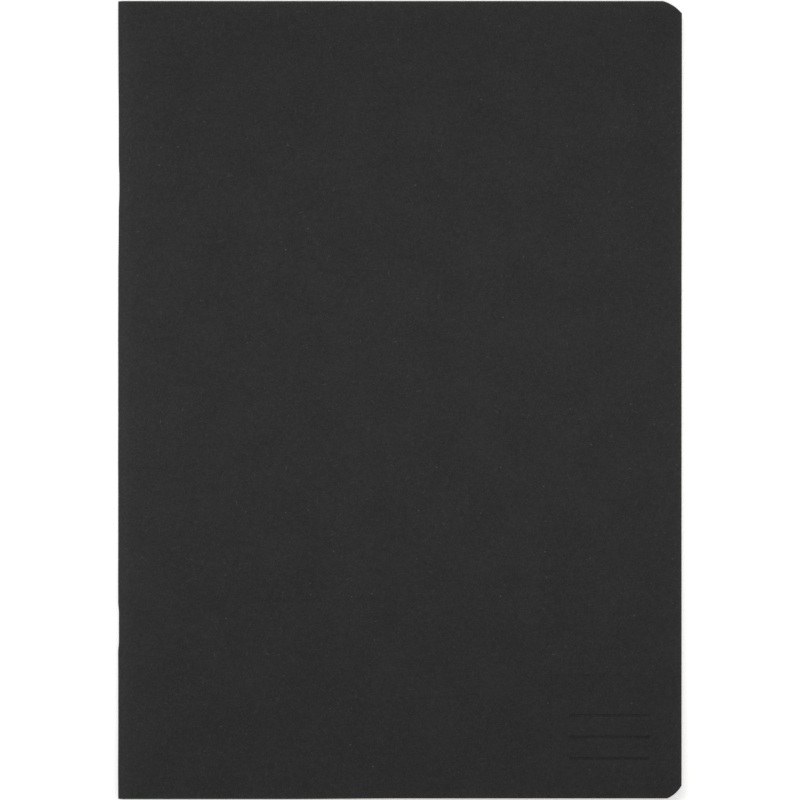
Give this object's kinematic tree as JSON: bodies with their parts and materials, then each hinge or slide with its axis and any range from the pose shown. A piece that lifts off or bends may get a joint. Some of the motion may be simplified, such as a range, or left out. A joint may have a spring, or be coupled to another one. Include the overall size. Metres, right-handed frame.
{
  "type": "stapled exercise book",
  "caption": "Thin portrait exercise book with a soft black card cover, rounded fore-edge corners and folded pages stapled through the spine; opens flat at its centre.",
  "frame": {"origin": "under the middle of the closed book, on the surface that its back cover lies on", "axes": "+X from the spine to the fore edge, +Y from the tail to the head, +Z from the back cover to the front cover"},
  "size_m": [0.21, 0.297, 0.0053],
  "materials": {
    "cover_card": "matte uncoated black card",
    "page_paper": "matte uncoated writing paper",
    "staple_wire": "galvanised stitching wire"
  },
  "bodies": {
    "back_cover": {"back_cover": "cover_card"},
    "front_cover": {"front_cover": "cover_card"},
    "spine": {"cover_crease": "cover_card", "sheet_01_fold": "page_paper", "sheet_02_fold": "page_paper", "sheet_03_fold": "page_paper", "sheet_04_fold": "page_paper", "sheet_05_fold": "page_paper", "sheet_06_fold": "page_paper", "sheet_07_fold": "page_paper", "sheet_08_fold": "page_paper", "sheet_09_fold": "page_paper", "sheet_10_fold": "page_paper", "sheet_11_fold": "page_paper", "sheet_12_fold": "page_paper", "sheet_13_fold": "page_paper", "sheet_14_fold": "page_paper", "sheet_15_fold": "page_paper", "sheet_16_fold": "page_paper", "staple_upper": "staple_wire", "staple_lower": "staple_wire"},
    "sheet_01_back_leaf": {"sheet_01_back_leaf": "page_paper"},
    "sheet_01_front_leaf": {"sheet_01_front_leaf": "page_paper"},
    "sheet_02_back_leaf": {"sheet_02_back_leaf": "page_paper"},
    "sheet_02_front_leaf": {"sheet_02_front_leaf": "page_paper"},
    "sheet_03_back_leaf": {"sheet_03_back_leaf": "page_paper"},
    "sheet_03_front_leaf": {"sheet_03_front_leaf": "page_paper"},
    "sheet_04_back_leaf": {"sheet_04_back_leaf": "page_paper"},
    "sheet_04_front_leaf": {"sheet_04_front_leaf": "page_paper"},
    "sheet_05_back_leaf": {"sheet_05_back_leaf": "page_paper"},
    "sheet_05_front_leaf": {"sheet_05_front_leaf": "page_paper"},
    "sheet_06_back_leaf": {"sheet_06_back_leaf": "page_paper"},
    "sheet_06_front_leaf": {"sheet_06_front_leaf": "page_paper"},
    "sheet_07_back_leaf": {"sheet_07_back_leaf": "page_paper"},
    "sheet_07_front_leaf": {"sheet_07_front_leaf": "page_paper"},
    "sheet_08_back_leaf": {"sheet_08_back_leaf": "page_paper"},
    "sheet_08_front_leaf": {"sheet_08_front_leaf": "page_paper"},
    "sheet_09_back_leaf": {"sheet_09_back_leaf": "page_paper"},
    "sheet_09_front_leaf": {"sheet_09_front_leaf": "page_paper"},
    "sheet_10_back_leaf": {"sheet_10_back_leaf": "page_paper"},
    "sheet_10_front_leaf": {"sheet_10_front_leaf": "page_paper"},
    "sheet_11_back_leaf": {"sheet_11_back_leaf": "page_paper"},
    "sheet_11_front_leaf": {"sheet_11_front_leaf": "page_paper"},
    "sheet_12_back_leaf": {"sheet_12_back_leaf": "page_paper"},
    "sheet_12_front_leaf": {"sheet_12_front_leaf": "page_paper"},
    "sheet_13_back_leaf": {"sheet_13_back_leaf": "page_paper"},
    "sheet_13_front_leaf": {"sheet_13_front_leaf": "page_paper"},
    "sheet_14_back_leaf": {"sheet_14_back_leaf": "page_paper"},
    "sheet_14_front_leaf": {"sheet_14_front_leaf": "page_paper"},
    "sheet_15_back_leaf": {"sheet_15_back_leaf": "page_paper"},
    "sheet_15_front_leaf": {"sheet_15_front_leaf": "page_paper"},
    "sheet_16_back_leaf": {"sheet_16_back_leaf": "page_paper"},
    "sheet_16_front_leaf": {"sheet_16_front_leaf": "page_paper"}
  },
  "joints": [
    {"name": "front_cover_turn", "type": "hinge", "parent": "back_cover", "child": "front_cover", "pos_m": [-0.10233, 0, 0.00266], "axis": [0, -1, 0], "range_deg": [0, 179.5], "deforming": ["cover_crease"]},
    {"name": "spine_turn", "type": "hinge", "parent": "back_cover", "child": "spine", "pos_m": [-0.10233, 0, 0.00266], "axis": [0, -1, 0], "range_deg": [0, 89.75]},
    {"name": "sheet_01_lift", "type": "hinge", "parent": "back_cover", "child": "sheet_01_back_leaf", "pos_m": [-0.10233, 0, 0.00266], "axis": [0, -1, 0], "range_deg": [0, 0.1]},
    {"name": "sheet_01_open", "type": "hinge", "parent": "sheet_01_back_leaf", "child": "sheet_01_front_leaf", "pos_m": [-0.10233, 0, 0.00266], "axis": [0, -1, 0], "range_deg": [0, 179.3], "deforming": ["sheet_01_fold"]},
    {"name": "sheet_02_lift", "type": "hinge", "parent": "back_cover", "child": "sheet_02_back_leaf", "pos_m": [-0.10233, 0, 0.00266], "axis": [0, -1, 0], "range_deg": [0, 0.2]},
    {"name": "sheet_02_open", "type": "hinge", "parent": "sheet_02_back_leaf", "child": "sheet_02_front_leaf", "pos_m": [-0.10233, 0, 0.00266], "axis": [0, -1, 0], "range_deg": [0, 179.1], "deforming": ["sheet_02_fold"]},
    {"name": "sheet_03_lift", "type": "hinge", "parent": "back_cover", "child": "sheet_03_back_leaf", "pos_m": [-0.10233, 0, 0.00266], "axis": [0, -1, 0], "range_deg": [0, 0.3]},
    {"name": "sheet_03_open", "type": "hinge", "parent": "sheet_03_back_leaf", "child": "sheet_03_front_leaf", "pos_m": [-0.10233, 0, 0.00266], "axis": [0, -1, 0], "range_deg": [0, 178.9], "deforming": ["sheet_03_fold"]},
    {"name": "sheet_04_lift", "type": "hinge", "parent": "back_cover", "child": "sheet_04_back_leaf", "pos_m": [-0.10233, 0, 0.00266], "axis": [0, -1, 0], "range_deg": [0, 0.4]},
    {"name": "sheet_04_open", "type": "hinge", "parent": "sheet_04_back_leaf", "child": "sheet_04_front_leaf", "pos_m": [-0.10233, 0, 0.00266], "axis": [0, -1, 0], "range_deg": [0, 178.7], "deforming": ["sheet_04_fold"]},
    {"name": "sheet_05_lift", "type": "hinge", "parent": "back_cover", "child": "sheet_05_back_leaf", "pos_m": [-0.10233, 0, 0.00266], "axis": [0, -1, 0], "range_deg": [0, 0.5]},
    {"name": "sheet_05_open", "type": "hinge", "parent": "sheet_05_back_leaf", "child": "sheet_05_front_leaf", "pos_m": [-0.10233, 0, 0.00266], "axis": [0, -1, 0], "range_deg": [0, 178.5], "deforming": ["sheet_05_fold"]},
    {"name": "sheet_06_lift", "type": "hinge", "parent": "back_cover", "child": "sheet_06_back_leaf", "pos_m": [-0.10233, 0, 0.00266], "axis": [0, -1, 0], "range_deg": [0, 0.6]},
    {"name": "sheet_06_open", "type": "hinge", "parent": "sheet_06_back_leaf", "child": "sheet_06_front_leaf", "pos_m": [-0.10233, 0, 0.00266], "axis": [0, -1, 0], "range_deg": [0, 178.3], "deforming": ["sheet_06_fold"]},
    {"name": "sheet_07_lift", "type": "hinge", "parent": "back_cover", "child": "sheet_07_back_leaf", "pos_m": [-0.10233, 0, 0.00266], "axis": [0, -1, 0], "range_deg": [0, 0.7]},
    {"name": "sheet_07_open", "type": "hinge", "parent": "sheet_07_back_leaf", "child": "sheet_07_front_leaf", "pos_m": [-0.10233, 0, 0.00266], "axis": [0, -1, 0], "range_deg": [0, 178.1], "deforming": ["sheet_07_fold"]},
    {"name": "sheet_08_lift", "type": "hinge", "parent": "back_cover", "child": "sheet_08_back_leaf", "pos_m": [-0.10233, 0, 0.00266], "axis": [0, -1, 0], "range_deg": [0, 0.8]},
    {"name": "sheet_08_open", "type": "hinge", "parent": "sheet_08_back_leaf", "child": "sheet_08_front_leaf", "pos_m": [-0.10233, 0, 0.00266], "axis": [0, -1, 0], "range_deg": [0, 177.9], "deforming": ["sheet_08_fold"]},
    {"name": "sheet_09_lift", "type": "hinge", "parent": "back_cover", "child": "sheet_09_back_leaf", "pos_m": [-0.10233, 0, 0.00266], "axis": [0, -1, 0], "range_deg": [0, 0.9]},
    {"name": "sheet_09_open", "type": "hinge", "parent": "sheet_09_back_leaf", "child": "sheet_09_front_leaf", "pos_m": [-0.10233, 0, 0.00266], "axis": [0, -1, 0], "range_deg": [0, 177.7], "deforming": ["sheet_09_fold"]},
    {"name": "sheet_10_lift", "type": "hinge", "parent": "back_cover", "child": "sheet_10_back_leaf", "pos_m": [-0.10233, 0, 0.00266], "axis": [0, -1, 0], "range_deg": [0, 1]},
    {"name": "sheet_10_open", "type": "hinge", "parent": "sheet_10_back_leaf", "child": "sheet_10_front_leaf", "pos_m": [-0.10233, 0, 0.00266], "axis": [0, -1, 0], "range_deg": [0, 177.5], "deforming": ["sheet_10_fold"]},
    {"name": "sheet_11_lift", "type": "hinge", "parent": "back_cover", "child": "sheet_11_back_leaf", "pos_m": [-0.10233, 0, 0.00266], "axis": [0, -1, 0], "range_deg": [0, 1.1]},
    {"name": "sheet_11_open", "type": "hinge", "parent": "sheet_11_back_leaf", "child": "sheet_11_front_leaf", "pos_m": [-0.10233, 0, 0.00266], "axis": [0, -1, 0], "range_deg": [0, 177.3], "deforming": ["sheet_11_fold"]},
    {"name": "sheet_12_lift", "type": "hinge", "parent": "back_cover", "child": "sheet_12_back_leaf", "pos_m": [-0.10233, 0, 0.00266], "axis": [0, -1, 0], "range_deg": [0, 1.2]},
    {"name": "sheet_12_open", "type": "hinge", "parent": "sheet_12_back_leaf", "child": "sheet_12_front_leaf", "pos_m": [-0.10233, 0, 0.00266], "axis": [0, -1, 0], "range_deg": [0, 177.1], "deforming": ["sheet_12_fold"]},
    {"name": "sheet_13_lift", "type": "hinge", "parent": "back_cover", "child": "sheet_13_back_leaf", "pos_m": [-0.10233, 0, 0.00266], "axis": [0, -1, 0], "range_deg": [0, 1.3]},
    {"name": "sheet_13_open", "type": "hinge", "parent": "sheet_13_back_leaf", "child": "sheet_13_front_leaf", "pos_m": [-0.10233, 0, 0.00266], "axis": [0, -1, 0], "range_deg": [0, 176.9], "deforming": ["sheet_13_fold"]},
    {"name": "sheet_14_lift", "type": "hinge", "parent": "back_cover", "child": "sheet_14_back_leaf", "pos_m": [-0.10233, 0, 0.00266], "axis": [0, -1, 0], "range_deg": [0, 1.4]},
    {"name": "sheet_14_open", "type": "hinge", "parent": "sheet_14_back_leaf", "child": "sheet_14_front_leaf", "pos_m": [-0.10233, 0, 0.00266], "axis": [0, -1, 0], "range_deg": [0, 176.7], "deforming": ["sheet_14_fold"]},
    {"name": "sheet_15_lift", "type": "hinge", "parent": "back_cover", "child": "sheet_15_back_leaf", "pos_m": [-0.10233, 0, 0.00266], "axis": [0, -1, 0], "range_deg": [0, 1.5]},
    {"name": "sheet_15_open", "type": "hinge", "parent": "sheet_15_back_leaf", "child": "sheet_15_front_leaf", "pos_m": [-0.10233, 0, 0.00266], "axis": [0, -1, 0], "range_deg": [0, 176.5], "deforming": ["sheet_15_fold"]},
    {"name": "sheet_16_lift", "type": "hinge", "parent": "back_cover", "child": "sheet_16_back_leaf", "pos_m": [-0.10233, 0, 0.00266], "axis": [0, -1, 0], "range_deg": [0, 1.6]},
    {"name": "sheet_16_open", "type": "hinge", "parent": "sheet_16_back_leaf", "child": "sheet_16_front_leaf", "pos_m": [-0.10233, 0, 0.00266], "axis": [0, -1, 0], "range_deg": [0, 176.3], "deforming": ["sheet_16_fold"]}
  ],
  "couplings": [
    {"joint": "spine_turn", "follows": "front_cover_turn", "ratio": 0.5},
    {"joint": "sheet_01_lift", "follows": "front_cover_turn", "ratio": 0.0005571},
    {"joint": "sheet_01_open", "follows": "front_cover_turn", "ratio": 0.99889},
    {"joint": "sheet_02_lift", "follows": "front_cover_turn", "ratio": 0.0011142},
    {"joint": "sheet_02_open", "follows": "front_cover_turn", "ratio": 0.99777},
    {"joint": "sheet_03_lift", "follows": "front_cover_turn", "ratio": 0.0016713},
    {"joint": "sheet_03_open", "follows": "front_cover_turn", "ratio": 0.99666},
    {"joint": "sheet_04_lift", "follows": "front_cover_turn", "ratio": 0.0022284},
    {"joint": "sheet_04_open", "follows": "front_cover_turn", "ratio": 0.99554},
    {"joint": "sheet_05_lift", "follows": "front_cover_turn", "ratio": 0.0027855},
    {"joint": "sheet_05_open", "follows": "front_cover_turn", "ratio": 0.99443},
    {"joint": "sheet_06_lift", "follows": "front_cover_turn", "ratio": 0.0033426},
    {"joint": "sheet_06_open", "follows": "front_cover_turn", "ratio": 0.99331},
    {"joint": "sheet_07_lift", "follows": "front_cover_turn", "ratio": 0.0038997},
    {"joint": "sheet_07_open", "follows": "front_cover_turn", "ratio": 0.9922},
    {"joint": "sheet_08_lift", "follows": "front_cover_turn", "ratio": 0.0044568},
    {"joint": "sheet_08_open", "follows": "front_cover_turn", "ratio": 0.99109},
    {"joint": "sheet_09_lift", "follows": "front_cover_turn", "ratio": 0.0050139},
    {"joint": "sheet_09_open", "follows": "front_cover_turn", "ratio": 0.98997},
    {"joint": "sheet_10_lift", "follows": "front_cover_turn", "ratio": 0.005571},
    {"joint": "sheet_10_open", "follows": "front_cover_turn", "ratio": 0.98886},
    {"joint": "sheet_11_lift", "follows": "front_cover_turn", "ratio": 0.0061281},
    {"joint": "sheet_11_open", "follows": "front_cover_turn", "ratio": 0.98774},
    {"joint": "sheet_12_lift", "follows": "front_cover_turn", "ratio": 0.0066852},
    {"joint": "sheet_12_open", "follows": "front_cover_turn", "ratio": 0.98663},
    {"joint": "sheet_13_lift", "follows": "front_cover_turn", "ratio": 0.0072423},
    {"joint": "sheet_13_open", "follows": "front_cover_turn", "ratio": 0.98552},
    {"joint": "sheet_14_lift", "follows": "front_cover_turn", "ratio": 0.0077994},
    {"joint": "sheet_14_open", "follows": "front_cover_turn", "ratio": 0.9844},
    {"joint": "sheet_15_lift", "follows": "front_cover_turn", "ratio": 0.0083565},
    {"joint": "sheet_15_open", "follows": "front_cover_turn", "ratio": 0.98329},
    {"joint": "sheet_16_lift", "follows": "front_cover_turn", "ratio": 0.0089136},
    {"joint": "sheet_16_open", "follows": "front_cover_turn", "ratio": 0.98217}
  ]
}
